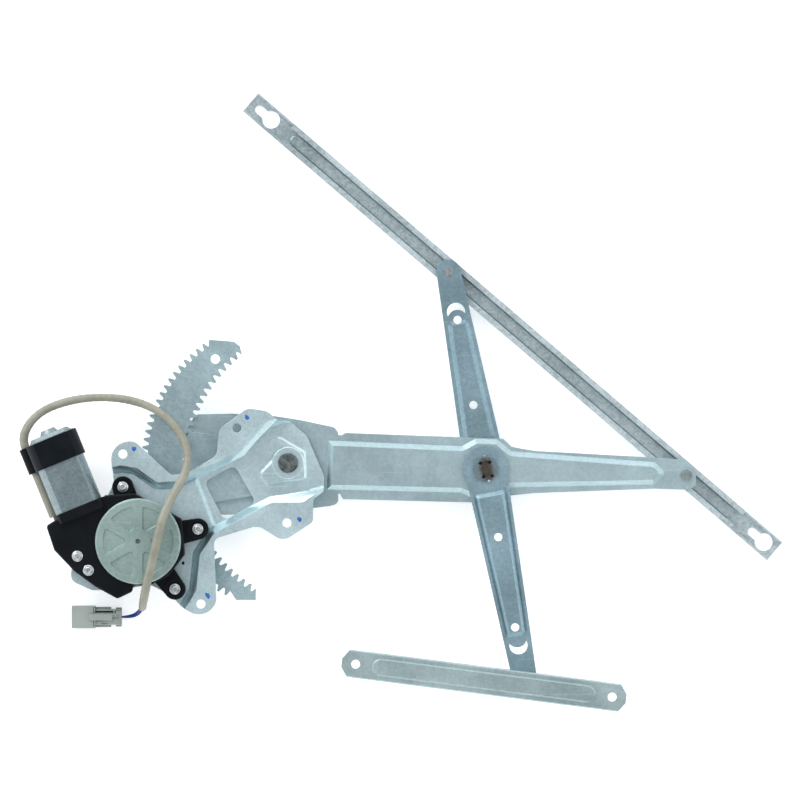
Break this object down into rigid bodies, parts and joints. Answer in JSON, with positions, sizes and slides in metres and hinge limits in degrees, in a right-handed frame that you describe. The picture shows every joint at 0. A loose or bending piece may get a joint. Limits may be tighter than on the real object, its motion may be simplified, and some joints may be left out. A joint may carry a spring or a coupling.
{
  "type": "window regulator",
  "caption": "Crossed-arm window regulator with a toothed lift arm, sliding glass and guide rails, and a geared electric motor with its lead.",
  "frame": {"origin": "centre of the datum bolt hole in the base plate's lower ear, at the ears' mounting face", "axes": "+Z is the normal of the mounting face, towards the door's inner panel; +X runs from the motor towards the lift arm's tip"},
  "size_m": [0.5207, 0.4216, 0.054],
  "materials": {
    "plated_steel": "satin zinc plating",
    "rivet_steel": "bright",
    "cover_steel": "satin plating",
    "can_steel": "satin plating",
    "black_plastic": "satin",
    "black_rubber": "matt",
    "nylon": "satin",
    "ferrite": "matt",
    "bronze": "sintered",
    "iron": "laminated",
    "sleeve": "satin vinyl",
    "blue_wire": "satin",
    "grey_plastic": "satin"
  },
  "bodies": {
    "base": {"base_plate": "plated_steel", "main_pivot": "rivet_steel", "pivot_washer": "plated_steel", "gear_housing": "black_plastic", "gear_cover": "cover_steel", "lug_screws": "rivet_steel", "housing_screws": "rivet_steel", "motor_can": "can_steel", "end_bell": "can_steel", "rubber_cap": "black_rubber", "magnets": "ferrite", "shaft_bushes": "bronze", "harness_lead": "sleeve", "harness_sleeve": "sleeve", "harness_wires": "blue_wire", "connector": "grey_plastic"},
    "lift": {"toothed_sector": "plated_steel", "lift_arm": "plated_steel", "lift_arm_stud": "rivet_steel"},
    "lift_slide": {"lift_arm_slider": "nylon"},
    "equalizer": {"equalizer_upper_arm": "plated_steel", "equalizer_lower_arm": "plated_steel", "centre_hub": "rivet_steel", "upper_stud": "rivet_steel", "lower_stud": "rivet_steel"},
    "upper_slide": {"upper_slider": "nylon"},
    "glass": {"glass_rail": "plated_steel"},
    "lower_slide": {"lower_slider": "nylon"},
    "guide": {"guide_rail": "plated_steel"},
    "output": {"output_shaft": "rivet_steel", "output_pinion": "rivet_steel", "worm_wheel": "nylon"},
    "armature": {"armature_shaft": "rivet_steel", "worm": "rivet_steel", "armature_core": "iron", "commutator": "bronze"}
  },
  "joints": [
    {"name": "lift_arm_swing", "type": "hinge", "parent": "base", "child": "lift", "pos_m": [0.0007, 0.0408, -0.0128], "axis": [0, 0, 1], "range_deg": [-34, 20]},
    {"name": "output_spin", "type": "hinge", "parent": "base", "child": "output", "pos_m": [-0.10088, -0.0123, -0.0102], "axis": [0, 0, 1], "range_deg": [-120, 202]},
    {"name": "armature_spin", "type": "hinge", "parent": "base", "child": "armature", "pos_m": [-0.12725, -0.02312, 0.004], "axis": [-0.3795, 0.9252, 0], "range_deg": [-5700, 9700]},
    {"name": "equalizer_swing", "type": "hinge", "parent": "lift", "child": "equalizer", "pos_m": [0.13513, 0.03658, -0.0128], "axis": [0, 0, 1], "range_deg": [-41, 69]},
    {"name": "lift_slider_turn", "type": "hinge", "parent": "lift", "child": "lift_slide", "pos_m": [0.27207, 0.03227, -0.02], "axis": [0, 0, 1], "range_deg": [-21, 35]},
    {"name": "upper_slider_turn", "type": "hinge", "parent": "equalizer", "child": "upper_slide", "pos_m": [0.10993, 0.17124, -0.02], "axis": [0, 0, 1], "range_deg": [-35, 21]},
    {"name": "glass_rail_slide", "type": "slide", "parent": "upper_slide", "child": "glass", "axis": [0.7593, -0.6508, 0], "range_m": [-0.018, 0.03]},
    {"name": "lower_slider_turn", "type": "hinge", "parent": "equalizer", "child": "lower_slide", "pos_m": [0.16273, -0.11087, -0.002], "axis": [0, 0, 1], "range_deg": [-35, 21]},
    {"name": "guide_rail_slide", "type": "slide", "parent": "lower_slide", "child": "guide", "axis": [0.9919, -0.1271, 0], "range_m": [-0.042, 0.09]}
  ],
  "couplings": [
    {"joint": "output_spin", "follows": "lift_arm_swing", "ratio": -5.8947},
    {"joint": "armature_spin", "follows": "lift_arm_swing", "ratio": -282.95},
    {"joint": "equalizer_swing", "follows": "lift_arm_swing", "ratio": -2},
    {"joint": "lift_slider_turn", "follows": "lift_arm_swing", "ratio": -1},
    {"joint": "upper_slider_turn", "follows": "lift_arm_swing", "ratio": 1},
    {"joint": "glass_rail_slide", "follows": "lift_arm_swing", "m_per_rad": -0.047},
    {"joint": "lower_slider_turn", "follows": "lift_arm_swing", "ratio": 1}
  ]
}
